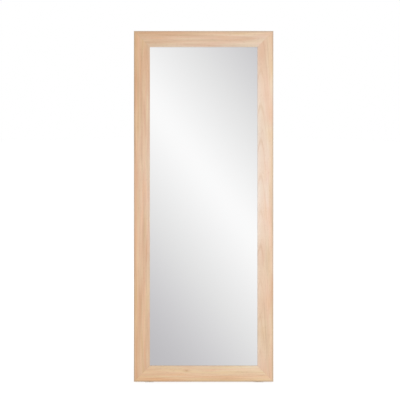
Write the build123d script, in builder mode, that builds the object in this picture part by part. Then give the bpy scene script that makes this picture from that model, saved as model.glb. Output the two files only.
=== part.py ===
from build123d import *
from math import cos, radians, sin, tan
import os

os.makedirs("parts", exist_ok=True)

# Driving dimensions, in millimetres and degrees.

# Frame of four mitred oak boards. Depths are counted back from its front face.
frame_width = 660.0
frame_height = 1660.0
face_width = 75.0
frame_thickness = 20.0
outer_edge_round = 1.5
sight_edge_round = 1.0

# Rebate behind the frame: the front lip overlaps the glass, the shoulder carries the backing board.
lip_width = 8.0
shoulder_width = 16.0
glass_thickness = 4.0
glass_edge_gap = 1.0
cushion_thickness = 1.0
board_thickness = 3.0
board_edge_gap = 0.5

# Biscuits glued in the mitres.
biscuit_length = 47.0
biscuit_width = 15.0
biscuit_thickness = 4.0
biscuit_gap = 0.1

# Stance: the mirror leans back and the leg slants the other way.
lean_angle = 9.0
leg_angle = 7.0
pivot_drop = 480.0

# Screws. A pilot hole is as wide as the shank and a countersink as wide as the head, plus a gap.
screw_gap = 0.05
head_gap = 0.1
countersink_angle = 90.0
pilot_spare_depth = 1.0
screw_tip_length = 3.0
board_screw_radius = 1.5
board_screw_length = 12.0
board_screw_head_radius = 3.0
board_screw_head_height = 1.8
board_screws_per_side = 6
board_screws_per_end = 2
plate_screw_radius = 1.75
plate_screw_length = 14.0
plate_screw_head_radius = 3.3
bracket_screw_radius = 2.0
bracket_screw_length = 16.0
bracket_screw_head_radius = 3.9

# Cross recess in a screw head, as shares of the head's radius.
recess_span = 1.0
recess_slot = 0.25
recess_depth = 0.35

# Flat steel L plates across the back of the corners.
brace_arm = 80.0
brace_strip_width = 16.0
brace_thickness = 2.0
brace_screw_near = 34.0
brace_screw_end = 10.0
brace_corner_round = 4.0

# Keyhole hanger plates. A pocket behind each follows the path of the wall screw's head, with a gap all round.
hanger_drop = 210.0
hanger_plate_width = 22.0
hanger_plate_length = 56.0
hanger_thickness = 2.0
hanger_screw_end = 7.0
keyhole_radius = 5.5
keyhole_slot_width = 5.6
keyhole_rise = 10.0
pocket_gap = 2.0
pocket_depth = 8.0

# Clevis brackets that carry the leg.
bracket_thickness = 2.5
bracket_length = 92.0
bracket_screw_edge = 10.0
ear_rim = 9.0
fold_gap = 3.0
stop_gap = 0.15

# Pivot: bolt, lock nut, washers between leg and ears, and a bush in the leg.
bolt_radius = 3.0
bolt_hole_gap = 0.2
bolt_head_rim = 2.5
bolt_head_height = 3.2
bolt_head_round = 2.0
socket_flats = 4.0
socket_depth = 2.0
bolt_tail = 1.5
nut_wall = 2.0
nut_height = 6.0
nut_gap = 0.02
nut_edge_round = 0.8
washer_rim = 5.0
washer_thickness = 1.5
side_play = 0.1
bush_wall = 2.0
bush_running_gap = 0.06
bush_seat_gap = 0.02

# Leg frame.
leg_stile_width = 32.0
leg_stile_thickness = 20.0
leg_above_pivot = 22.0
leg_edge_round = 2.0
leg_rail_width = 44.0
leg_rail_thickness = 18.0
leg_rail_top_drop = 64.0
leg_rail_bottom_rise = 260.0
dowel_radius = 4.0
dowel_length = 40.0
dowel_pitch = 22.0
dowel_gap = 0.05
dowel_end_gap = 1.0

# Rubber feet, each with moulded pegs that push into drilled holes.
front_foot_inset = 70.0
front_foot_length = 45.0
front_foot_setback = 11.0
front_foot_least = 1.5
front_foot_peg_pitch = 26.0
leg_foot_thickness = 4.0
leg_foot_margin = 1.0
foot_edge_round = 1.0
peg_radius = 2.5
peg_length = 12.0
peg_gap = 0.05

# Sizes worked out from those above.
lean = radians(lean_angle)
slant = radians(leg_angle)
sight_width = frame_width - 2 * face_width
sight_height = frame_height - 2 * face_width
glass_opening = (sight_width + 2 * lip_width, sight_height + 2 * lip_width)
board_opening = (glass_opening[0] + 2 * shoulder_width, glass_opening[1] + 2 * shoulder_width)
rebate_depth = glass_thickness + cushion_thickness + board_thickness
lip_thickness = frame_thickness - rebate_depth
band_width = face_width - lip_width - shoulder_width
band_offset = frame_width / 2 - band_width / 2
shoulder_offset = frame_width / 2 - band_width - shoulder_width / 2
hanger_height = frame_height - hanger_drop
front_foot_offset = frame_width / 2 - front_foot_inset

# The frame stands on wedge feet that are thinnest under its back edge.
front_edge_height = frame_thickness * sin(lean) + front_foot_least
pivot_height = frame_height - pivot_drop
pivot_standoff = leg_stile_thickness / 2 + fold_gap
pivot_depth = frame_thickness + bracket_thickness + pivot_standoff
pivot_rise = front_edge_height + pivot_height * cos(lean) - pivot_depth * sin(lean)
pivot_behind = pivot_depth * cos(lean) + pivot_height * sin(lean)
leg_reach = pivot_rise / cos(slant)
overall_depth = pivot_behind + pivot_rise * tan(slant) + leg_stile_thickness / (2 * cos(slant))

# front_face lies in the frame's front, with its origin at the middle of the bottom edge.
# Its x runs to the right, its y up the mirror and its z towards the viewer.
face_up = Vector(0, sin(lean), cos(lean))
face_out = Vector(0, -cos(lean), sin(lean))
front_face = Plane((0, -overall_depth / 2, front_edge_height), x_dir=(1, 0, 0), z_dir=face_out)
depth_axis = Axis(front_face.origin, face_out)
up_axis = Axis(front_face.origin, face_up)
middle = (0, frame_height / 2)

# leg_plane goes through the pivot. Its y runs up the leg and its z towards the mirror.
pivot = front_face.from_local_coords(Vector(0, pivot_height, -pivot_depth))
leg_up = Vector(0, -sin(slant), cos(slant))
leg_plane = Plane(pivot, x_dir=(1, 0, 0), z_dir=Vector(1, 0, 0).cross(leg_up))
leg_axis = Axis(pivot, leg_up)


def layer(depth):
    """The plane parallel to the front face, a given depth behind it."""
    return front_face.offset(-depth)


def back_at(across, up, depth):
    """A plane at a point on the back, with its z pointing out of the back."""
    point = front_face.from_local_coords(Vector(across, up, -depth))
    return Plane(point, x_dir=(-1, 0, 0), z_dir=-face_out)


def pivot_at(side, offset):
    """A plane square to the pivot axis, offset outwards from the middle of that side's leg stile.
    Its y points to the front on both sides."""
    point = pivot + Vector(side * (band_offset + offset), 0, 0)
    return Plane(point, x_dir=side * face_up, z_dir=(side, 0, 0))


def save(part, name):
    part.label = name
    export_step(part, f"parts/{name}.step")


# Screw blanks. The underside of a pan head and the top of a countersunk head are at z = 0.


def cut_cross_recess(head_radius, top):
    """Cut the cross that takes the driver."""
    with Locations((0, 0, top)):
        for span, slot in ((recess_span, recess_slot), (recess_slot, recess_span)):
            Box(
                head_radius * span,
                head_radius * slot,
                head_radius * recess_depth * 2,
                mode=Mode.SUBTRACT,
            )


def pan_screw(radius, length, head_radius, head_height):
    with BuildPart() as screw:
        with BuildSketch(Plane.XZ):
            with BuildLine():
                Line((0, head_height), (head_radius / 2, head_height))
                RadiusArc((head_radius / 2, head_height), (head_radius, 0), head_radius)
                Polyline((head_radius, 0), (radius, 0), (radius, screw_tip_length - length), (0, -length))
                Line((0, -length), (0, head_height))
            make_face()
        revolve(axis=Axis.Z)
        cut_cross_recess(head_radius, head_height)
    return screw.part


def countersunk_screw(radius, length, head_radius):
    cone_height = (head_radius - radius) / tan(radians(countersink_angle / 2))
    with BuildPart() as screw:
        with BuildSketch(Plane.XZ):
            with BuildLine():
                Polyline(
                    (0, 0),
                    (head_radius, 0),
                    (radius, -cone_height),
                    (radius, screw_tip_length - length),
                    (0, -length),
                    close=True,
                )
            make_face()
        revolve(axis=Axis.Z)
        cut_cross_recess(head_radius, 0)
    return screw.part


def screw_group(blank, planes):
    """One screw on each plane, as separate solids."""
    with BuildPart() as group:
        with Locations(*planes):
            add(blank)
    return group.part


# Where the screws go. Each list holds planes on the surface that the heads sit in or on.
side_steps = [
    frame_height / 2 + (board_opening[1] - shoulder_width) * (i / (board_screws_per_side - 1) - 0.5)
    for i in range(board_screws_per_side)
]
end_steps = [
    2 * shoulder_offset * ((i + 1) / (board_screws_per_end + 1) - 0.5)
    for i in range(board_screws_per_end)
]
board_screw_points = [(side * shoulder_offset, up) for side in (-1, 1) for up in side_steps]
board_screw_points += [(across, up) for across in end_steps for up in (side_steps[0], side_steps[-1])]
board_screw_planes = [back_at(across, up, frame_thickness) for across, up in board_screw_points]

corner_signs = {"top_left": (-1, 1), "top_right": (1, 1), "bottom_left": (-1, -1), "bottom_right": (1, -1)}
brace_inset = (band_width - brace_strip_width) / 2


def brace_point(signs, along_x, along_y):
    """A point measured in from the plate's outer corner, in front_face coordinates."""
    across = signs[0] * (frame_width / 2 - brace_inset - along_x)
    up = frame_height / 2 + signs[1] * (frame_height / 2 - brace_inset - along_y)
    return (across, up)


def brace_screw_points(signs):
    strip_middle = brace_strip_width / 2
    return [
        brace_point(signs, *place)
        for step in (brace_screw_near, brace_arm - brace_screw_end)
        for place in ((step, strip_middle), (strip_middle, step))
    ]


brace_back = frame_thickness + brace_thickness
brace_screw_planes = [
    back_at(*point, brace_back) for signs in corner_signs.values() for point in brace_screw_points(signs)
]

hanger_back = frame_thickness + hanger_thickness


def hanger_screw_planes(side):
    step = hanger_plate_length / 2 - hanger_screw_end
    plate_middle = hanger_height + keyhole_rise / 2
    return [back_at(side * band_offset, plate_middle + end * step, hanger_back) for end in (-1, 1)]


bracket_back = frame_thickness + bracket_thickness
inner_half = leg_stile_width / 2 + washer_thickness + 2 * side_play
outer_half = inner_half + bracket_thickness


def bracket_screw_planes(side):
    across = outer_half - bracket_screw_edge
    up = bracket_length / 2 - bracket_screw_edge
    return [
        back_at(side * band_offset + i * across, pivot_height + j * up, bracket_back)
        for i in (-1, 1)
        for j in (-1, 1)
    ]


# Where the biscuits go: in the middle of each mitre, across the part that has its full thickness.
biscuit_depth = lip_thickness - biscuit_thickness / 2


def biscuit_shape(gap):
    """The pointed oval of a biscuit, in each corner, as a sketch on the middle layer of the biscuits."""
    length = biscuit_length / 2 + gap
    width = biscuit_width / 2 + gap
    arc_radius = (length**2 + width**2) / (2 * width)
    with BuildSketch() as oval:
        with Locations((0, arc_radius - width)):
            Circle(arc_radius)
        with Locations((0, width - arc_radius)):
            Circle(arc_radius, mode=Mode.INTERSECT)
    with BuildSketch(layer(biscuit_depth)) as ovals:
        for across, up in corner_signs.values():
            height = middle[1] + up * (middle[1] - band_width / 2)
            with Locations(Location((across * band_offset, height), 45 * across * up)):
                add(oval.sketch)
    return ovals.sketch


# Frame: four boards, mitred at the corners, rebated behind for glass, cushion and backing board.


def cut_pilot_holes(planes, radius, length):
    with Locations(*planes):
        Hole(radius + screw_gap, depth=length + pilot_spare_depth)


def front_foot_peg_plane(across):
    """A plane on the underside of the bottom rail, with its z pointing out of the wood."""
    depth = (front_foot_setback + frame_thickness) / 2
    point = front_face.from_local_coords(Vector(across, 0, -depth))
    return Plane(point, x_dir=(1, 0, 0), z_dir=-face_up)


front_foot_peg_planes = {
    side: [
        front_foot_peg_plane(side * front_foot_offset + step)
        for step in (-front_foot_peg_pitch / 2, front_foot_peg_pitch / 2)
    ]
    for side in (-1, 1)
}


def frame_board(outline, length_axis):
    with BuildPart() as board:
        with BuildSketch(front_face):
            with BuildLine():
                Polyline(*outline, close=True)
            make_face()
        extrude(amount=-frame_thickness)
        long_edges = board.edges().filter_by(length_axis).group_by(depth_axis)
        outer_edges = [edges.sort_by(SortBy.LENGTH)[-1] for edges in (long_edges[0], long_edges[-1])]
        fillet(outer_edges, outer_edge_round)
        front_edges = board.faces().sort_by(depth_axis)[-1].edges().filter_by(length_axis)
        fillet(front_edges.sort_by(SortBy.LENGTH)[0], sight_edge_round)
        for opening, depth in ((board_opening, board_thickness), (glass_opening, rebate_depth)):
            with BuildSketch(layer(frame_thickness)):
                with Locations(middle):
                    Rectangle(*opening)
            extrude(amount=depth, mode=Mode.SUBTRACT)
        slot_half = biscuit_thickness / 2 + biscuit_gap
        extrude(biscuit_shape(biscuit_gap), slot_half, both=True, mode=Mode.SUBTRACT)
        cut_pilot_holes(board_screw_planes, board_screw_radius, board_screw_length)
        cut_pilot_holes(brace_screw_planes, plate_screw_radius, plate_screw_length)
        for side in (-1, 1):
            cut_pilot_holes(bracket_screw_planes(side), bracket_screw_radius, bracket_screw_length)
            cut_pilot_holes(hanger_screw_planes(side), plate_screw_radius, plate_screw_length)
            with BuildSketch(back_at(side * band_offset, hanger_height, frame_thickness)):
                with Locations((0, keyhole_rise / 2)):
                    SlotCenterToCenter(keyhole_rise, 2 * (keyhole_radius + pocket_gap), rotation=90)
            extrude(amount=-pocket_depth, mode=Mode.SUBTRACT)
            with Locations(*front_foot_peg_planes[side]):
                Hole(peg_radius + peg_gap, depth=peg_length + peg_gap)
    return board.part


def corner(side, end, inset):
    """A corner of the frame's outline, or of the sight opening, in front_face coordinates."""
    return (side * (frame_width / 2 - inset), middle[1] + end * (frame_height / 2 - inset))


for side, name in ((-1, "frame_stile_left"), (1, "frame_stile_right")):
    outer_side = [corner(side, -1, 0), corner(side, 1, 0)]
    sight_side = [corner(side, 1, face_width), corner(side, -1, face_width)]
    save(frame_board(outer_side + sight_side, up_axis), name)

for end, name in ((-1, "frame_rail_bottom"), (1, "frame_rail_top")):
    outer_side = [corner(-1, end, 0), corner(1, end, 0)]
    sight_side = [corner(1, end, face_width), corner(-1, end, face_width)]
    save(frame_board(outer_side + sight_side, Axis.X), name)

with BuildPart() as mitre_biscuits:
    extrude(biscuit_shape(0), biscuit_thickness / 2, both=True)
save(mitre_biscuits.part, "mitre_biscuits")

# Glass, foam cushion and backing board, one behind the other in the rebate.


def rebate_sheet(opening, edge_gap, depth, thickness, screw_planes=()):
    with BuildPart() as sheet:
        with BuildSketch(layer(depth)):
            with Locations(middle):
                Rectangle(opening[0] - 2 * edge_gap, opening[1] - 2 * edge_gap)
        extrude(amount=-thickness)
        if screw_planes:
            with Locations(*screw_planes):
                Hole(board_screw_radius + screw_gap, depth=thickness)
    return sheet.part


save(rebate_sheet(glass_opening, glass_edge_gap, lip_thickness, glass_thickness), "mirror_glass")
cushion_front = lip_thickness + glass_thickness
save(rebate_sheet(glass_opening, glass_edge_gap, cushion_front, cushion_thickness), "glass_cushion")
board_front = cushion_front + cushion_thickness
save(
    rebate_sheet(board_opening, board_edge_gap, board_front, board_thickness, board_screw_planes),
    "backing_board",
)

board_screw = pan_screw(
    board_screw_radius, board_screw_length, board_screw_head_radius, board_screw_head_height
)
save(screw_group(board_screw, board_screw_planes), "backing_screws")

# L plates over the back of the mitres.


def cut_countersinks(planes, radius, head_radius, thickness):
    """Drill a plate for countersunk screws."""
    with Locations(*planes):
        CounterSinkHole(
            radius + screw_gap,
            head_radius + head_gap,
            depth=thickness,
            counter_sink_angle=countersink_angle,
        )


def corner_brace(signs):
    arm, strip = brace_arm, brace_strip_width
    outline = ((0, 0), (arm, 0), (arm, strip), (strip, strip), (strip, arm), (0, arm))
    with BuildPart() as brace:
        with BuildSketch(layer(frame_thickness)) as plate:
            with BuildLine():
                Polyline(*[brace_point(signs, *point) for point in outline], close=True)
            make_face()
            fillet(plate.vertices(), brace_corner_round)
        extrude(amount=-brace_thickness)
        screw_planes = [back_at(*point, brace_back) for point in brace_screw_points(signs)]
        cut_countersinks(screw_planes, plate_screw_radius, plate_screw_head_radius, brace_thickness)
    return brace.part


for place, signs in corner_signs.items():
    save(corner_brace(signs), f"corner_brace_{place}")

plate_screw = countersunk_screw(plate_screw_radius, plate_screw_length, plate_screw_head_radius)
save(screw_group(plate_screw, brace_screw_planes), "corner_brace_screws")

# Keyhole hanger plates. The round hole passes a wall screw's head, and the slot above it grips the neck.


def hanger_plate(side):
    with BuildPart() as plate:
        with BuildSketch(back_at(side * band_offset, hanger_height, frame_thickness)):
            with Locations((0, keyhole_rise / 2)):
                SlotOverall(hanger_plate_length, hanger_plate_width, rotation=90)
                SlotCenterToCenter(keyhole_rise, keyhole_slot_width, rotation=90, mode=Mode.SUBTRACT)
            Circle(keyhole_radius, mode=Mode.SUBTRACT)
        extrude(amount=hanger_thickness)
        screw_planes = hanger_screw_planes(side)
        cut_countersinks(screw_planes, plate_screw_radius, plate_screw_head_radius, hanger_thickness)
    return plate.part


save(hanger_plate(-1), "hanger_plate_left")
save(hanger_plate(1), "hanger_plate_right")
save(screw_group(plate_screw, hanger_screw_planes(-1) + hanger_screw_planes(1)), "hanger_plate_screws")

# Clevis brackets. The leg's top end bears on the base plate when the leg is fully open.
ear_half_width = bolt_radius + ear_rim
ear_foot = pivot_standoff + bracket_thickness / 2


def leg_bracket(side):
    with BuildPart() as bracket:
        with BuildSketch(layer(frame_thickness)):
            with Locations((side * band_offset, pivot_height)):
                RectangleRounded(2 * outer_half, bracket_length, bracket_thickness)
        extrude(amount=-bracket_thickness)
        for offset in (-outer_half, inner_half):
            with BuildSketch(pivot_at(side, offset)):
                Circle(ear_half_width)
                Rectangle(2 * ear_half_width, ear_foot, align=(Align.CENTER, Align.MIN))
                Circle(bolt_radius + bolt_hole_gap, mode=Mode.SUBTRACT)
            extrude(amount=bracket_thickness)
        screw_planes = bracket_screw_planes(side)
        cut_countersinks(screw_planes, bracket_screw_radius, bracket_screw_head_radius, bracket_thickness)
    return bracket.part


save(leg_bracket(-1), "leg_bracket_left")
save(leg_bracket(1), "leg_bracket_right")

bracket_screw = countersunk_screw(bracket_screw_radius, bracket_screw_length, bracket_screw_head_radius)
save(screw_group(bracket_screw, bracket_screw_planes(-1) + bracket_screw_planes(1)), "leg_bracket_screws")

# Pivot hardware. The bolt's head is on the outer side and its lock nut on the inner side.


def pivot_bolt(side):
    with BuildPart() as bolt:
        with BuildSketch(pivot_at(side, outer_half)):
            Circle(bolt_radius + bolt_head_rim)
        extrude(amount=bolt_head_height)
        fillet(bolt.edges().sort_by(Axis.X)[-1 if side > 0 else 0], bolt_head_round)
        with BuildSketch(pivot_at(side, outer_half + bolt_head_height)):
            RegularPolygon(socket_flats / 2, 6, major_radius=False)
        extrude(amount=-socket_depth, mode=Mode.SUBTRACT)
        with BuildSketch(pivot_at(side, outer_half)):
            Circle(bolt_radius)
        extrude(amount=-(2 * outer_half + nut_height + bolt_tail))
    return bolt.part


def pivot_nut(side):
    with BuildPart() as nut:
        with BuildSketch(pivot_at(side, -outer_half)):
            RegularPolygon(bolt_radius + nut_wall, 6, major_radius=False)
            Circle(bolt_radius + nut_gap, mode=Mode.SUBTRACT)
        extrude(amount=-nut_height)
        far_face = nut.faces().sort_by(Axis.X)[0 if side > 0 else -1]
        chamfer(far_face.outer_wire().edges(), nut_edge_round)
    return nut.part


def pivot_bush(side):
    with BuildPart() as bush:
        with BuildSketch(pivot_at(side, -leg_stile_width / 2)):
            Circle(bolt_radius + bush_running_gap + bush_wall)
            Circle(bolt_radius + bush_running_gap, mode=Mode.SUBTRACT)
        extrude(amount=leg_stile_width)
    return bush.part


for side, place in ((-1, "left"), (1, "right")):
    save(pivot_bolt(side), f"pivot_bolt_{place}")
    save(pivot_nut(side), f"pivot_nut_{place}")
    save(pivot_bush(side), f"pivot_bush_{place}")

with BuildPart() as pivot_washers:
    for side in (-1, 1):
        for offset in (-inner_half + side_play, inner_half - side_play - washer_thickness):
            with BuildSketch(pivot_at(side, offset)):
                Circle(bolt_radius + washer_rim)
                Circle(bolt_radius + bolt_hole_gap, mode=Mode.SUBTRACT)
            extrude(amount=washer_thickness)
save(pivot_washers.part, "pivot_washers")

# Leg frame: two stiles and two rails, dowelled. Heights along the leg are counted up from the pivot.
rail_half_length = band_offset - leg_stile_width / 2
leg_rail_heights = {
    "leg_rail_top": -leg_rail_top_drop,
    "leg_rail_bottom": leg_rail_bottom_rise - leg_reach,
}
stile_blank_length = leg_above_pivot + leg_reach + leg_stile_thickness
stop_plane = layer(bracket_back + stop_gap)
foot_plane = Plane.XY.offset(leg_foot_thickness)
foot_middle = leg_plane.from_local_coords(Vector(0, leg_foot_thickness / cos(slant) - leg_reach, 0))


def dowel_planes(side, rail_height):
    """Planes in the joint between a rail and a stile, square to the dowels."""
    heights = (rail_height - dowel_pitch / 2, rail_height + dowel_pitch / 2)
    points = [Vector(side * rail_half_length, height, 0) for height in heights]
    return [Plane(leg_plane.from_local_coords(point), x_dir=leg_up, z_dir=(1, 0, 0)) for point in points]


def cut_dowel_holes(side, rail_height):
    with Locations(*dowel_planes(side, rail_height)):
        Cylinder(dowel_radius + dowel_gap, dowel_length + 2 * dowel_end_gap, mode=Mode.SUBTRACT)


def leg_foot_peg_plane(side):
    """A plane in the cut end of a leg stile, with its z pointing down the leg."""
    point = foot_middle + Vector(side * band_offset, 0, 0)
    return Plane(point, x_dir=(1, 0, 0), z_dir=-leg_up)


def leg_stile(side):
    with BuildPart() as stile:
        with BuildSketch(leg_plane):
            with Locations((side * band_offset, leg_above_pivot)):
                Rectangle(leg_stile_width, stile_blank_length, align=(Align.CENTER, Align.MAX))
        extrude(amount=leg_stile_thickness / 2, both=True)
        fillet(stile.edges().filter_by(leg_axis), leg_edge_round)
        split(bisect_by=foot_plane, keep=Keep.TOP)
        split(bisect_by=stop_plane, keep=Keep.BOTTOM)
        with BuildSketch(pivot_at(side, 0)):
            Circle(bolt_radius + bush_running_gap + bush_wall + bush_seat_gap)
        extrude(amount=leg_stile_width, both=True, mode=Mode.SUBTRACT)
        for rail_height in leg_rail_heights.values():
            cut_dowel_holes(side, rail_height)
        with Locations(leg_foot_peg_plane(side)):
            Cylinder(peg_radius + peg_gap, 2 * (peg_length + peg_gap), mode=Mode.SUBTRACT)
    return stile.part


save(leg_stile(-1), "leg_stile_left")
save(leg_stile(1), "leg_stile_right")


def leg_rail(rail_height):
    with BuildPart() as rail:
        with BuildSketch(leg_plane):
            with Locations((0, rail_height)):
                Rectangle(2 * rail_half_length, leg_rail_width)
        extrude(amount=leg_rail_thickness / 2, both=True)
        fillet(rail.edges().filter_by(Axis.X), leg_edge_round)
        for side in (-1, 1):
            cut_dowel_holes(side, rail_height)
    return rail.part


for name, rail_height in leg_rail_heights.items():
    save(leg_rail(rail_height), name)

with BuildPart() as leg_dowels:
    for rail_height in leg_rail_heights.values():
        for side in (-1, 1):
            with Locations(*dowel_planes(side, rail_height)):
                Cylinder(dowel_radius, dowel_length)
save(leg_dowels.part, "leg_dowels")

# Rubber feet. The front ones are wedges under the leaning frame, the leg's are flat blocks.
leg_foot_size = (leg_stile_width - 2 * leg_foot_margin, leg_stile_thickness - 2 * leg_foot_margin)


def front_foot(side):
    middle_x = side * front_foot_offset
    near = front_face.from_local_coords(Vector(middle_x, 0, -front_foot_setback))
    far = front_face.from_local_coords(Vector(middle_x, 0, -frame_thickness))
    with BuildPart() as foot:
        with BuildSketch(Plane.YZ.offset(middle_x)):
            with BuildLine():
                Polyline((near.Y, 0), (far.Y, 0), (far.Y, far.Z), (near.Y, near.Z), close=True)
            make_face()
        extrude(amount=front_foot_length / 2, both=True)
        with Locations(*front_foot_peg_planes[side]):
            Cylinder(peg_radius, 2 * peg_length)
        split(bisect_by=Plane.XY, keep=Keep.TOP)
    return foot.part


def leg_foot(side):
    with BuildPart() as foot:
        with BuildSketch(Plane.XY):
            with Locations((side * band_offset, foot_middle.Y)):
                RectangleRounded(*leg_foot_size, leg_edge_round)
        extrude(amount=leg_foot_thickness)
        fillet(foot.edges().group_by(Axis.Z)[0], foot_edge_round)
        with Locations(leg_foot_peg_plane(side)):
            Cylinder(peg_radius, 2 * peg_length)
        split(bisect_by=Plane.XY, keep=Keep.TOP)
    return foot.part


for side, place in ((-1, "left"), (1, "right")):
    save(front_foot(side), f"front_foot_{place}")
    save(leg_foot(side), f"leg_foot_{place}")
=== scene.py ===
"""The looks of a full-length floor mirror: an oak frame that leans on a folding leg behind it."""

import math
import bmesh
import bpy
from mathutils import Color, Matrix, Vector


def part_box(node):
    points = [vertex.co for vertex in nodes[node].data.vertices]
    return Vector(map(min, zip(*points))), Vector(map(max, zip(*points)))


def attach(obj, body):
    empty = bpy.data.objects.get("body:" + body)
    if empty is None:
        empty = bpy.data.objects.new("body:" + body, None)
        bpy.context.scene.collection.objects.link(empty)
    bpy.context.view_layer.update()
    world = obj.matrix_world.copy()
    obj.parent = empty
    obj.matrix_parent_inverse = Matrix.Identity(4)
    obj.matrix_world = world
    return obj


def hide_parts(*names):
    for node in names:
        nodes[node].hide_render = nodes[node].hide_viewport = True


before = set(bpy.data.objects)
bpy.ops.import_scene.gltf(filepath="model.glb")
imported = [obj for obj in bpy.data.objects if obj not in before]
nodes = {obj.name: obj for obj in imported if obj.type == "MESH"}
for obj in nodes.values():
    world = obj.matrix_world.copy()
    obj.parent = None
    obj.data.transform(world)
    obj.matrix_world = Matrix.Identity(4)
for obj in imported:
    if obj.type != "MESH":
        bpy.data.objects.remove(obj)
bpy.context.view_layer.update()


# The frame is four boards of pale oak under a matt clear finish, mitred and glued at the corners.
# Three boards are cut so that the growth rings run straight along the face. The right stile is cut
# flat from nearer the heart of the tree, so its rings show as long arches.


def facing(name, direction):
    """The normal of a node's largest face that looks in a direction."""
    faces = nodes[name].data.polygons
    return max(faces, key=lambda face: face.normal.dot(direction) * face.area).normal.copy()


def middle_of(name):
    """The middle of a node's box."""
    low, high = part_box(name)
    return (low + high) / 2


sideways = Vector((1, 0, 0))
face_out = facing("mirror_glass", Vector((0, -1, 0)))
face_up = face_out.cross(sideways)


def paint(code):
    """Linear colour from a hexadecimal sRGB code."""
    shares = [channel / 255 for channel in bytes.fromhex(code)]
    return (*Color(shares).from_srgb_to_scene_linear(), 1.0)


class Bench:
    """A node tree while it is put together, with one short call for each kind of node."""

    noise_range = (0.3, 0.7)  # most of a noise lies between these

    def __init__(self, tree):
        self.tree = tree

    def feed(self, socket, value):
        """Link a node's output to a socket, or set the socket to a plain value."""
        if isinstance(value, bpy.types.NodeSocket):
            self.tree.links.new(value, socket)
        else:
            socket.default_value = value

    def add(self, kind, *values, **settings):
        """Add a node, set its properties, then feed its inputs in order."""
        node = self.tree.nodes.new("ShaderNode" + kind)
        for label, setting in settings.items():
            setattr(node, label, setting)
        for socket, value in zip(node.inputs, values):
            self.feed(socket, value)
        return node

    def place(self):
        """Where a point is on its piece, in metres."""
        return self.add("TexCoord").outputs["Object"]

    def maths(self, operation, *values):
        """The result of one sum."""
        return self.add("Math", *values, operation=operation).outputs[0]

    def scaled(self, value, rate, start=0.0):
        """A value times a rate, counted from a start."""
        return self.maths("MULTIPLY_ADD", value, rate, start)

    def dot(self, vector, direction):
        """How far a vector reaches in a direction."""
        return self.add("VectorMath", vector, direction, operation="DOT_PRODUCT").outputs["Value"]

    def stretch(self, lengths, rates):
        """A vector of three lengths, each at its own rate."""
        return self.add("CombineXYZ", *[self.scaled(*pair) for pair in zip(lengths, rates)]).outputs[0]

    def noise(self, vector, seed, scale=1.0, detail=2.0, roughness=0.5):
        """A soft random pattern, which is another one for each seed."""
        node = self.add("TexNoise", vector, seed, scale, detail, roughness, noise_dimensions="4D")
        return node.outputs[0]

    def spread(self, value, low, high, bottom=0.0, top=1.0):
        """Carry the range from low to high over to the range from bottom to top, and stop at its ends."""
        return self.add("MapRange", value, low, high, bottom, top).outputs[0]

    def shades(self, noise, *codes):
        """A run of colours, evenly spaced over a noise."""
        node = self.add("ValToRGB", self.spread(noise, *self.noise_range))
        marks = node.color_ramp.elements
        while len(marks) < len(codes):
            marks.new(1.0)
        for i, (mark, code) in enumerate(zip(marks, codes)):
            mark.position = i / (len(codes) - 1)
            mark.color = paint(code)
        return node.outputs[0]

    def blend(self, factor, under, over, how="MIX"):
        """One colour over another, by a factor from 0 to 1."""
        node = self.add("Mix", data_type="RGBA", blend_type=how)
        sockets = {socket.identifier: socket for socket in [*node.inputs, *node.outputs]}
        for label, value in (("Factor_Float", factor), ("A_Color", under), ("B_Color", over)):
            self.feed(sockets[label], value)
        return sockets["Result_Color"]

    def stain(self, under, code, factor=1.0):
        """A colour multiplied by another."""
        return self.blend(factor, under, paint(code), "MULTIPLY")


class Finish(Bench):
    """A material for the object's pieces. Constants are the shader's own settings."""

    def __init__(self, name, **constants):
        self.material = bpy.data.materials.new(name)
        self.material.use_nodes = True
        super().__init__(self.material.node_tree)
        self.shader = self.tree.nodes["Principled BSDF"]
        for label, value in constants.items():
            self.shader.inputs[label.replace("_", " ")].default_value = value

    def colour(self, value):
        """Colour the surface, and keep the colour for a later coat."""
        self.feed(self.shader.inputs["Base Color"], value)
        self.base = value

    def rough(self, noise, least, most):
        """Roughness that follows a noise."""
        self.feed(self.shader.inputs["Roughness"], self.spread(noise, *self.noise_range, least, most))

    def relief(self, height, depth, strength):
        """Relief of the surface, where a height of 1 stands for a depth in metres."""
        node = self.add("Bump")
        for label, value in (("Strength", strength), ("Distance", depth), ("Height", height)):
            self.feed(node.inputs[label], value)
        self.feed(self.shader.inputs["Normal"], node.outputs[0])

    def put_on(self, *names):
        """Finish the named pieces."""
        for name in names:
            nodes[name].material_slots[0].material = self.material


# Rates of change per metre across a board, through it and along its grain.
sway_rates = (9, 9, 2.6)
fibre_rates = (620, 620, 9)
pore_rates = (1500, 1500, 60)

# Rates of change per ring, per metre along the grain and per metre through the board.
year_rates = (0.34, 3, 0)
drift_rates = (0.2, 4, 0)
drift_tints = ("fffaec", "fffdf8", "fff4f0", "fff0e2")

# A year runs from 0 to 1, and its late wood lies round one point of it, darker in the poor years.
stem_sway = 0.022
late_wood_at = 0.86
late_wood_width = 0.14
poor_to_good = (0.35, 0.65)
late_wood_shares = (0.4, 0.1)
late_wood_stain = "dcc0a4"

# Fibres are a little darker or paler than the wood. Pores are where their noise peaks, and they thin out
# as the year goes on.
fibre_shades = (0.96, 1.04)
pore_peaks = (0.64, 0.74)
pore_season = (0.1, 0.5)
pore_shares = (1, 0.3)
pore_strength = 0.45
pore_stain = "b08862"

# A pale streak is ten times as long as it is wide, and only shows through the colour of the wood.
streak_shape = (0.1, 1, 0)
streak_reach = (0.05, 0.02)
streak_share = 0.4
streak_colour = "f0ece4"

# A pin knot is twice as long as it is wide. Each reach is from where its effect begins to where it is full.
knot_shape = (0.5, 1, 0)
knot_push = 0.006
knot_push_reach = (0.014, 0.001)
knot_stains = {"f3eeeb": (0.011, 0.002), "f4ece6": (0.0045, 0.001)}

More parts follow.
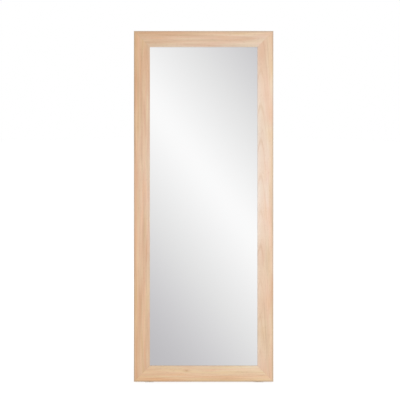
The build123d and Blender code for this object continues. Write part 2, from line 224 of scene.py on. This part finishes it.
# The finish sinks deeper into a face that looks along the grain.
end_grain_facing = (0.8, 0.95)
end_grain_stain = "d3b79c"


def oak(board, grain, across, tones, cut, seed, streak=None, knot=None):
    """Solid oak, coloured by the rings round the heart of its tree, so that all faces of a board agree.
    The cut says how far the heart lies from the board's middle, across and in depth, how wide a ring is,
    and how much nearer the heart comes for each metre along. Tones run from the poor years to the good.
    A pale streak or a pin knot, if there is one, lies so far from the middle, along and across."""
    wood = Finish("oak_" + board, Specular_IOR_Level=0.3)
    place = wood.add("VectorMath", wood.place(), middle_of(board), operation="SUBTRACT").outputs[0]
    side = wood.dot(place, across)
    deep = wood.dot(place, across.cross(grain))
    along = wood.dot(place, grain)

    def off(spot, shape):
        """How far a point lies from a spot on the board."""
        lengths = (wood.scaled(along, 1, -spot[0]), wood.scaled(side, 1, -spot[1]), deep)
        return wood.add("VectorMath", wood.stretch(lengths, shape), operation="LENGTH").outputs["Value"]

    # The stem was never quite straight, so the rings wander, and they part round a knot.
    sway = wood.noise(wood.stretch((side, deep, along), sway_rates), seed)
    from_heart = wood.scaled(sway, stem_sway, wood.scaled(side, 1, -cut["heart"][0]))
    if knot:
        off_knot = off(knot, knot_shape)
        from_heart = wood.scaled(wood.spread(off_knot, *knot_push_reach), knot_push, from_heart)
    below = wood.scaled(along, cut["climb"], wood.scaled(deep, 1, -cut["heart"][1]))
    radius = wood.maths("SQRT", wood.scaled(from_heart, from_heart, wood.scaled(below, below)))
    rings = wood.maths("DIVIDE", radius, cut["ring"])

    # Good and poor years make broad bands, and the colour drifts between straw, rose and orange.
    years = wood.noise(wood.stretch((rings, along, deep), year_rates), seed + 1, detail=3, roughness=0.6)
    drift = wood.noise(wood.stretch((rings, along, deep), drift_rates), seed + 2)
    base = wood.blend(1.0, wood.shades(years, *tones), wood.shades(drift, *drift_tints), "MULTIPLY")
    if streak:
        pale = wood.spread(off(streak, streak_shape), *streak_reach, 0, streak_share)
        base = wood.blend(pale, base, paint(streak_colour))

    # Each year ends in a thin line of dense late wood, plainer in the poor years.
    season = wood.maths("FRACT", rings)
    late = wood.spread(wood.maths("ABSOLUTE", wood.scaled(season, 1, -late_wood_at)), late_wood_width, 0)
    late = wood.maths("MULTIPLY", late, wood.spread(years, *poor_to_good, *late_wood_shares))
    base = wood.stain(base, late_wood_stain, late)

    # Fibres lie along the grain, with the short open pores of the early wood between them.
    fibre = wood.noise(wood.stretch((side, deep, along), fibre_rates), seed + 3)
    base = wood.blend(1.0, base, wood.spread(fibre, *wood.noise_range, *fibre_shades), "MULTIPLY")
    pore = wood.noise(wood.stretch((side, deep, along), pore_rates), seed + 4, detail=0)
    early = wood.spread(season, *pore_season, *pore_shares)
    pore = wood.maths("MULTIPLY", wood.spread(pore, *pore_peaks), early)
    base = wood.stain(base, pore_stain, wood.scaled(pore, pore_strength))

    # A knot is stained round about and again at its pin, and the ends of a board are darker all over.
    if knot:
        for code, knot_reach in knot_stains.items():
            base = wood.stain(base, code, wood.spread(off_knot, *knot_reach))
    towards_end = wood.maths("ABSOLUTE", wood.dot(wood.add("TexCoord").outputs["Normal"], grain))
    wood.colour(wood.stain(base, end_grain_stain, wood.spread(towards_end, *end_grain_facing)))
    wood.rough(fibre, least=0.5, most=0.62)
    wood.relief(wood.maths("SUBTRACT", fibre, pore), depth=0.0002, strength=0.35)
    wood.put_on(board)
    return wood


board_names = ("frame_stile_left", "frame_stile_right", "frame_rail_top", "frame_rail_bottom")
board_points = [vertex.co for name in board_names for vertex in nodes[name].data.vertices]
frame_foot = min(point.dot(face_up) for point in board_points)
frame_head = max(point.dot(face_up) for point in board_points)
frame_front = max(point.dot(face_out) for point in board_points)
half_width = max(point.x for point in board_points)
half_height = (frame_head - frame_foot) / 2
quarter_area = half_width * half_height
frame_middle = face_up * (frame_foot + half_height) + face_out * frame_front
face_width = half_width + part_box("frame_stile_left")[1].x

# Tints of the face, most of them painted light and shade, and in metres where each begins or how wide it
# is.
# Painted shade: the face darkens from right to left, as if lit from the right.
painted_left_shade = "f8ecdf"
# Painted light and shade: palest a little above half way up, where most light falls, and darker towards the
# ends.
painted_ends_shade = "f8f2e8"
painted_light_height = 0.13
painted_light_reach = (0.1, 0.62)
# Painted shade: darker towards the top left and bottom right corners, so that the face is paler to the
# upper right, as if lit from there.
painted_corners_shade = "fbfaf7"
# Painted light along the glass: this tint lies everywhere but a strip beside the glass, so that the strip
# is paler, as if lit by the bright mirror beside it.
tint_beyond_painted_glow = "fff8f0"
painted_glow_strip = 0.02
outside_tint = "fff6ea"
outside_strip = 0.028
# Painted shade along the eased front edges, where they turn away from the light.
painted_arris_shade = "dbe6f2"
arris_shade_strip = 0.009
glue_tint = "a08060"
glue_line = 0.0003
glue_share = 0.6


def shade_and_tint_face(wood):
    """What the four boards share once they are one frame: painted light and shade, as if lit from the upper
    right, which leaves the face paler to the right and a little above half way and darker towards two
    opposite corners;
    a painted light strip paler along the glass; warmer towards the outside; painted shade along the eased
    front edges; and a glue line in each mitre."""
    place = wood.add("VectorMath", wood.place(), frame_middle, operation="SUBTRACT").outputs[0]
    across = wood.dot(place, sideways)
    up = wood.dot(place, face_up)
    from_painted_light = wood.maths("ABSOLUTE", wood.scaled(up, 1, -painted_light_height))
    to_corner = wood.maths("MULTIPLY", across, up)
    from_side = wood.scaled(wood.maths("ABSOLUTE", across), -1, half_width)
    from_end = wood.scaled(wood.maths("ABSOLUTE", up), -1, half_height)
    from_edge = wood.maths("MINIMUM", from_side, from_end)
    from_arris = wood.maths("MAXIMUM", from_edge, wood.maths("ABSOLUTE", wood.dot(place, face_out)))
    from_mitre = wood.maths("ABSOLUTE", wood.maths("SUBTRACT", from_side, from_end))
    tints = (
        (painted_left_shade, wood.spread(across, half_width, -half_width)),
        (painted_ends_shade, wood.spread(from_painted_light, *painted_light_reach)),
        (painted_corners_shade, wood.spread(to_corner, quarter_area, -quarter_area)),
        (tint_beyond_painted_glow, wood.spread(from_edge, face_width, face_width - painted_glow_strip)),
        (outside_tint, wood.spread(from_edge, outside_strip, 0)),
        (painted_arris_shade, wood.spread(from_arris, arris_shade_strip, 0)),
        (glue_tint, wood.spread(from_mitre, glue_line, 0, 0, glue_share)),
    )
    face = wood.base
    for code, share in tints:
        face = wood.stain(face, code, share)
    wood.colour(face)


straight = {"heart": (0.3, 0.06), "ring": 0.0035, "climb": 0.0}
arched = {"heart": (-0.012, 0.07), "ring": 0.005, "climb": -0.03}
pale_streak = (0.17, -0.035)
pin_knot = (-0.081, 0.0145)
left_tones = ("e1cfc2", "ede0d6", "f6ede5")
right_tones = ("e0cfc3", "ebddd3", "f2eae6")
top_tones = ("e0d4ca", "ece2dc", "f4eeec")
bottom_tones = ("e9d8c7", "f4e9dc", "f9f6eb")
board_woods = (
    oak("frame_stile_left", face_up, sideways, left_tones, straight, seed=2647),
    oak("frame_stile_right", face_up, sideways, right_tones, arched, seed=267, streak=pale_streak),
    oak("frame_rail_top", sideways, face_up, top_tones, straight, seed=453),
    oak("frame_rail_bottom", sideways, face_up, bottom_tones, straight, seed=1706, knot=pin_knot),
)
for wood in board_woods:
    shade_and_tint_face(wood)


# The mitre biscuits are pressed from beech. One is glued into slots across each mitre, inside the boards,
# where it swells and locks the joint.

beech_tones = ("cfa680", "dbb692")
figure_rates = (90, 90, 8)
fleck_rates = (1100, 1100, 160)
fleck_peaks = (0.62, 0.72)
fleck_share = 0.7
fleck_stain = "b98d66"


def beech(name, grain, *names):
    """Beech: even, rosy and closely flecked along the grain."""
    wood = Finish(name, Specular_IOR_Level=0.3)
    place = wood.place()
    lengths = [wood.dot(place, way) for way in (face_out, face_out.cross(grain), grain)]
    figure = wood.noise(wood.stretch(lengths, figure_rates), seed=3)
    fleck = wood.noise(wood.stretch(lengths, fleck_rates), seed=4, detail=0)
    flecked = wood.spread(fleck, *fleck_peaks, 0, fleck_share)
    wood.colour(wood.stain(wood.shades(figure, *beech_tones), fleck_stain, flecked))
    wood.rough(fleck, least=0.55, most=0.7)
    wood.put_on(*names)


beech("beech_biscuit", face_up, "mitre_biscuits")


# The mirror is a sheet of 4 mm float glass, silvered on its back, that lies in the frame's rebate.
# It is flat, with no bevel, and its front shows only a trace of wiping.

silver = (0.953, 0.953, 0.955, 1.0)
silvered = Finish("silvered_glass", Base_Color=silver, Metallic=1.0)
wiping = silvered.noise(silvered.place(), seed=5, scale=7, detail=4)
silvered.rough(wiping, least=0.0, most=0.012)
silvered.put_on("mirror_glass")


# A sheet of white polyethylene foam keeps the silvering off the backing board. It is cut to the glass
# and pressed between the two, so that its cut edge is squeezed thin.

foam_cells = (16, 40)
squeezed_rim = 0.012
squeezed_share = 0.4

cushion_points = [vertex.co for vertex in nodes["glass_cushion"].data.vertices]


def reach(direction):
    """Where the foam begins and ends in a direction."""
    measures = [point.dot(direction) for point in cushion_points]
    return min(measures), max(measures)


foam_low, foam_high = zip(*(reach(direction) for direction in (sideways, face_up, face_out)))
foam_middle = (foam_low[2] + foam_high[2]) / 2
foam_half = (foam_high[2] - foam_low[2]) / 2


def foam_point(i, j, side):
    """A point of the foam's front or back, thinner towards the rim."""
    shares = (i / foam_cells[0], j / foam_cells[1])
    x, up = (low + (high - low) * share for low, high, share in zip(foam_low, foam_high, shares))
    from_rim = min(x - foam_low[0], foam_high[0] - x, up - foam_low[1], foam_high[1] - up)
    swell = squeezed_share + (1 - squeezed_share) * min(1, from_rim / squeezed_rim)
    return sideways * x + face_up * up + face_out * (foam_middle + side * foam_half * swell)


foam = bmesh.new()
sheets = {
    side: [
        [foam.verts.new(foam_point(i, j, side)) for j in range(foam_cells[1] + 1)]
        for i in range(foam_cells[0] + 1)
    ]
    for side in (-1, 1)
}
for sheet in sheets.values():
    for i in range(foam_cells[0]):
        for j in range(foam_cells[1]):
            foam.faces.new((sheet[i][j], sheet[i + 1][j], sheet[i + 1][j + 1], sheet[i][j + 1]))
bmesh.ops.bridge_loops(foam, edges=[edge for edge in foam.edges if edge.is_boundary])
bmesh.ops.recalc_face_normals(foam, faces=foam.faces)
foam_mesh = bpy.data.meshes.new("foam_sheet")
foam.to_mesh(foam_mesh)
foam.free()
foam_sheet = bpy.data.objects.new("foam_sheet", foam_mesh)
bpy.context.scene.collection.objects.link(foam_sheet)

white_foam = Finish("white_foam", Specular_IOR_Level=0.3)
cells = white_foam.noise(white_foam.place(), seed=6, scale=900, detail=1)
white_foam.colour(white_foam.shades(cells, "e2e4e4", "f4f5f4"))
white_foam.rough(cells, least=0.6, most=0.8)
white_foam.relief(cells, depth=0.0002, strength=0.4)
foam_mesh.materials.append(white_foam.material)
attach(foam_sheet, "mirror")
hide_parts("glass_cushion")


# The backing board is 3 mm hardboard, let in flush with the back of the frame. It is wood fibre pressed
# hot and smooth, brown, with darker and paler fibres all through it.

hardboard = Finish("hardboard", Specular_IOR_Level=0.35)
cloud = hardboard.noise(hardboard.place(), seed=7, scale=14, detail=3)
pulp = hardboard.noise(hardboard.place(), seed=8, scale=640, detail=4, roughness=0.6)
brown = hardboard.shades(pulp, "96734f", "a6805c", "b48e68")
hardboard.colour(hardboard.stain(brown, "f6f1ec", hardboard.spread(cloud, *hardboard.noise_range)))
hardboard.rough(pulp, least=0.5, most=0.7)
hardboard.relief(pulp, depth=0.0001, strength=0.3)
hardboard.put_on("backing_board")


# All the screws, bolts and nuts are steel, bright zinc plated and clear passivated.
# The small pan heads hold the backing board down on its shoulder.

scuff_shades = (0.88, 1.0)


def zinc(name, tones, roughness, *names):
    """Zinc plate: grey with a faint bluish and yellowish bloom, and finely scuffed."""
    metal = Finish(name, Metallic=1.0)
    bloom = metal.noise(metal.place(), seed=9, scale=120)
    scuff = metal.noise(metal.place(), seed=10, scale=1300, detail=3, roughness=0.7)
    scuffed = metal.spread(scuff, *metal.noise_range, *scuff_shades)
    metal.colour(metal.blend(1.0, metal.shades(bloom, *tones), scuffed, "MULTIPLY"))
    metal.rough(scuff, *roughness)
    metal.relief(scuff, depth=0.00003, strength=0.3)
    metal.put_on(*names)


bright_tones = ("cfd3d8", "dcdcd6", "d3d6dc")
bright_roughness = (0.2, 0.34)
screw_names = ("backing_screws", "corner_brace_screws", "hanger_plate_screws", "leg_bracket_screws")
bolt_names = [f"pivot_{piece}_{side}" for piece in ("bolt", "nut") for side in ("left", "right")]
zinc("zinc_fastener", bright_tones, bright_roughness, *screw_names, *bolt_names)


# L plates of flat steel hold the corners, and keyhole plates high on the stiles take wall screws when
# the leg is unbolted. Both are stamped from strip, zinc plated duller than the screws, and screwed on.

dull_tones = ("b9bec4", "c9c8be", "bdc2ca")
dull_roughness = (0.34, 0.5)
corner_names = [f"corner_brace_{end}_{side}" for end in ("top", "bottom") for side in ("left", "right")]
hanger_names = ("hanger_plate_left", "hanger_plate_right")
zinc("zinc_plate", dull_tones, dull_roughness, *corner_names, *hanger_names)


# The leg brackets are folded from 2.5 mm steel and screwed to the backs of the stiles.
# They are powder coated black, with the fine orange peel that the powder leaves.

powder = Finish("black_powder_coat", Specular_IOR_Level=0.45)
peel = powder.noise(powder.place(), seed=11, scale=1100, detail=1)
dust = powder.noise(powder.place(), seed=12, scale=60, detail=3)
powder.colour(powder.shades(dust, "202124", "2d2e31"))
powder.rough(peel, least=0.42, most=0.56)
powder.relief(peel, depth=0.00006, strength=0.5)
powder.put_on("leg_bracket_left", "leg_bracket_right")


# Nylon washers keep the leg off the brackets' ears, and nylon bushes line the leg's bolt holes.
# Both are cut from natural white rod.

nylon = Finish("natural_nylon", Specular_IOR_Level=0.45)
tool_marks = nylon.noise(nylon.place(), seed=13, scale=500)
nylon.colour(nylon.shades(tool_marks, "dedacb", "efece1"))
nylon.rough(tool_marks, least=0.32, most=0.46)
nylon.put_on("pivot_washers", "pivot_bush_left", "pivot_bush_right")


# Two wedges of clear soft rubber stand under the bottom rail and carry the leaning frame.
# Each is moulded in one piece with two pegs, which are pushed into holes in the rail.

clear_rubber = Finish("clear_rubber", Transmission_Weight=0.7, IOR=1.43)
haze = clear_rubber.noise(clear_rubber.place(), seed=14, scale=260)
clear_rubber.colour(clear_rubber.shades(haze, "f4f4f0", "fcfcfa"))
clear_rubber.rough(haze, least=0.28, most=0.42)
clear_rubber.put_on("front_foot_left", "front_foot_right")


# The leg is a light frame of the same oak, planed square with softened edges and doweled together.
# Its stiles hang on the pivot bolts, and two rails keep them apart.

leg_back = facing("leg_stile_left", Vector((0, 1, 0)))
leg_up = sideways.cross(leg_back)
leg_tones = ("cfab8c", "dcbd9f", "e6caae")
for seed, side in ((53, "left"), (67, "right")):
    oak(f"leg_stile_{side}", leg_up, sideways, leg_tones, straight, seed)
for seed, end in ((71, "top"), (83, "bottom")):
    oak(f"leg_rail_{end}", sideways, leg_up, leg_tones, straight, seed)
beech("beech_dowel", sideways, "leg_dowels")


# The leg ends in feet of dark grey rubber, each moulded with a peg that is pushed into the end grain.
# They are dull, with the pale bloom that rubber gets.

dark_rubber = Finish("dark_rubber", Specular_IOR_Level=0.3)
mould_grain = dark_rubber.noise(dark_rubber.place(), seed=15, scale=1500, detail=1)
pale_bloom = dark_rubber.noise(dark_rubber.place(), seed=16, scale=90, detail=3)
dark_rubber.colour(dark_rubber.shades(pale_bloom, "2b2b2c", "3a3a3a"))
dark_rubber.rough(mould_grain, least=0.7, most=0.88)
dark_rubber.relief(mould_grain, depth=0.0001, strength=0.4)
dark_rubber.put_on("leg_foot_left", "leg_foot_right")


# The mirror stands on a plain white floor. It is white to the eye and still takes the mirror's soft shadow,
# but it is left out of reflections, where the room alone shows.

floor_radius = 9.0
floor_sides = 96
floor_drop = 0.0002
floor_glow = 0.78
floor_shading = 0.4
floor_white = (0.8, 0.8, 0.8, 1.0)

disc = bmesh.new()
bmesh.ops.create_circle(disc, cap_ends=True, radius=floor_radius, segments=floor_sides)
bmesh.ops.translate(disc, verts=disc.verts, vec=(0, 0, -floor_drop))
floor_mesh = bpy.data.meshes.new("floor")
disc.to_mesh(floor_mesh)
disc.free()
floor = bpy.data.objects.new("floor", floor_mesh)
bpy.context.scene.collection.objects.link(floor)
floor.visible_glossy = False


def looked_at(bench):
    """1 where the eye falls, straight or through something clear, and 0 for light and reflections."""
    rays = bench.add("LightPath").outputs
    return bench.maths("MAXIMUM", rays["Is Camera Ray"], rays["Is Transmission Ray"])


# To the eye the floor's own shading fades, and a glow makes up for it.
white_floor = Finish("white_floor", Base_Color=floor_white, Roughness=0.9, Specular_IOR_Level=0.0)
eye = looked_at(white_floor)
fading = white_floor.scaled(eye, 1 - floor_shading)
faded = white_floor.add("MixShader", fading, white_floor.shader.outputs[0])
glow = white_floor.add("Emission", paint("ffffff"), white_floor.scaled(eye, floor_glow))
lit_floor = white_floor.add("AddShader", faded.outputs[0], glow.outputs[0])
white_floor.feed(white_floor.tree.nodes["Material Output"].inputs["Surface"], lit_floor.outputs[0])
floor_mesh.materials.append(white_floor.material)


# The camera looks square on to the mirror, straight down its lean. Pixels are those of a picture of
# 400 by 400, and give where the middle of the frame stands in it and how tall the frame is.

image_px = 400
frame_middle_px = (203.65, 206.33)
frame_height_px = 350.7
camera_distance = 10.0
metres_per_px = 2 * half_height / frame_height_px

lens = bpy.data.cameras.new("camera")
lens.sensor_width = 36.0
lens.lens = lens.sensor_width * camera_distance / (metres_per_px * image_px)
lens.shift_x = 0.5 - frame_middle_px[0] / image_px
lens.shift_y = frame_middle_px[1] / image_px - 0.5
camera = bpy.data.objects.new("camera", lens)
camera.location = frame_middle + face_out * camera_distance
camera.rotation_mode = "QUATERNION"
camera.rotation_quaternion = (-face_out).to_track_quat("-Z", "Y")
bpy.context.scene.collection.objects.link(camera)
bpy.context.scene.camera = camera
bpy.context.scene.view_settings.view_transform = "Standard"


# The room is white to the eye and lights the mirror evenly. What the glass and the metal reflect of it is
# a slanting bright band that falls away to a cool grey on both sides, and comes back further round.

ambient = 0.76
band_slant = math.radians(38.5)
band_offset_px = 21.6
band_softness_px = 12
band_turn_px = 190
grey_from_px = 150
grey_softness_px = 60
fall_per_px = 0.00344
cool_levels = (0.8, 0.5)
room_white = paint("ffffff")
cool_grey = paint("fcfaff")

world = bpy.data.worlds.new("white_room")
world.use_nodes = True
bpy.context.scene.world = world
room = Bench(world.node_tree)
outwards = room.add("TexCoord").outputs["Generated"]
across_band = sideways * math.cos(band_slant) + face_up * math.sin(band_slant)
px_per_slope = camera_distance / metres_per_px
off_band = room.scaled(room.dot(outwards, across_band), px_per_slope, -band_offset_px)
off_band = room.maths("PINGPONG", off_band, band_turn_px)
fall = room.maths("SQRT", room.scaled(off_band, off_band, band_softness_px**2))
fall = room.maths("SMOOTH_MIN", fall, grey_from_px, grey_softness_px)
band = room.scaled(fall, -fall_per_px, 1 + band_softness_px * fall_per_px)
band_colour = room.blend(room.spread(band, *cool_levels), room_white, cool_grey)

# A reflection takes the band, the light on the mirror is even, and the eye sees plain white.
reflected = room.add("LightPath").outputs["Is Glossy Ray"]
level = room.scaled(reflected, room.scaled(band, 1, -ambient), ambient)
background = room.tree.nodes["Background"]
room.feed(background.inputs["Color"], room.blend(reflected, room_white, band_colour))
room.feed(background.inputs["Strength"], room.maths("MAXIMUM", level, looked_at(room)))


# Two round soft boxes bring out the shapes. One stands to the right of the camera, and a weaker one behind
# the mirror to the left. Neither shows in the glass.

soft_box_size = 1.6
soft_boxes = {"front_box": ((1.9, -2.6, 1.3), 36.0), "rear_box": ((-1.8, 2.6, 1.9), 24.0)}

for name, (spot, power) in soft_boxes.items():
    light = bpy.data.lights.new(name, "AREA")
    light.shape = "DISK"
    light.size = soft_box_size
    light.energy = power
    soft_box = bpy.data.objects.new(name, light)
    soft_box.location = spot
    soft_box.rotation_mode = "QUATERNION"
    soft_box.rotation_quaternion = (middle_of("mirror_glass") - soft_box.location).to_track_quat("-Z", "Y")
    soft_box.visible_glossy = False
    bpy.context.scene.collection.objects.link(soft_box)
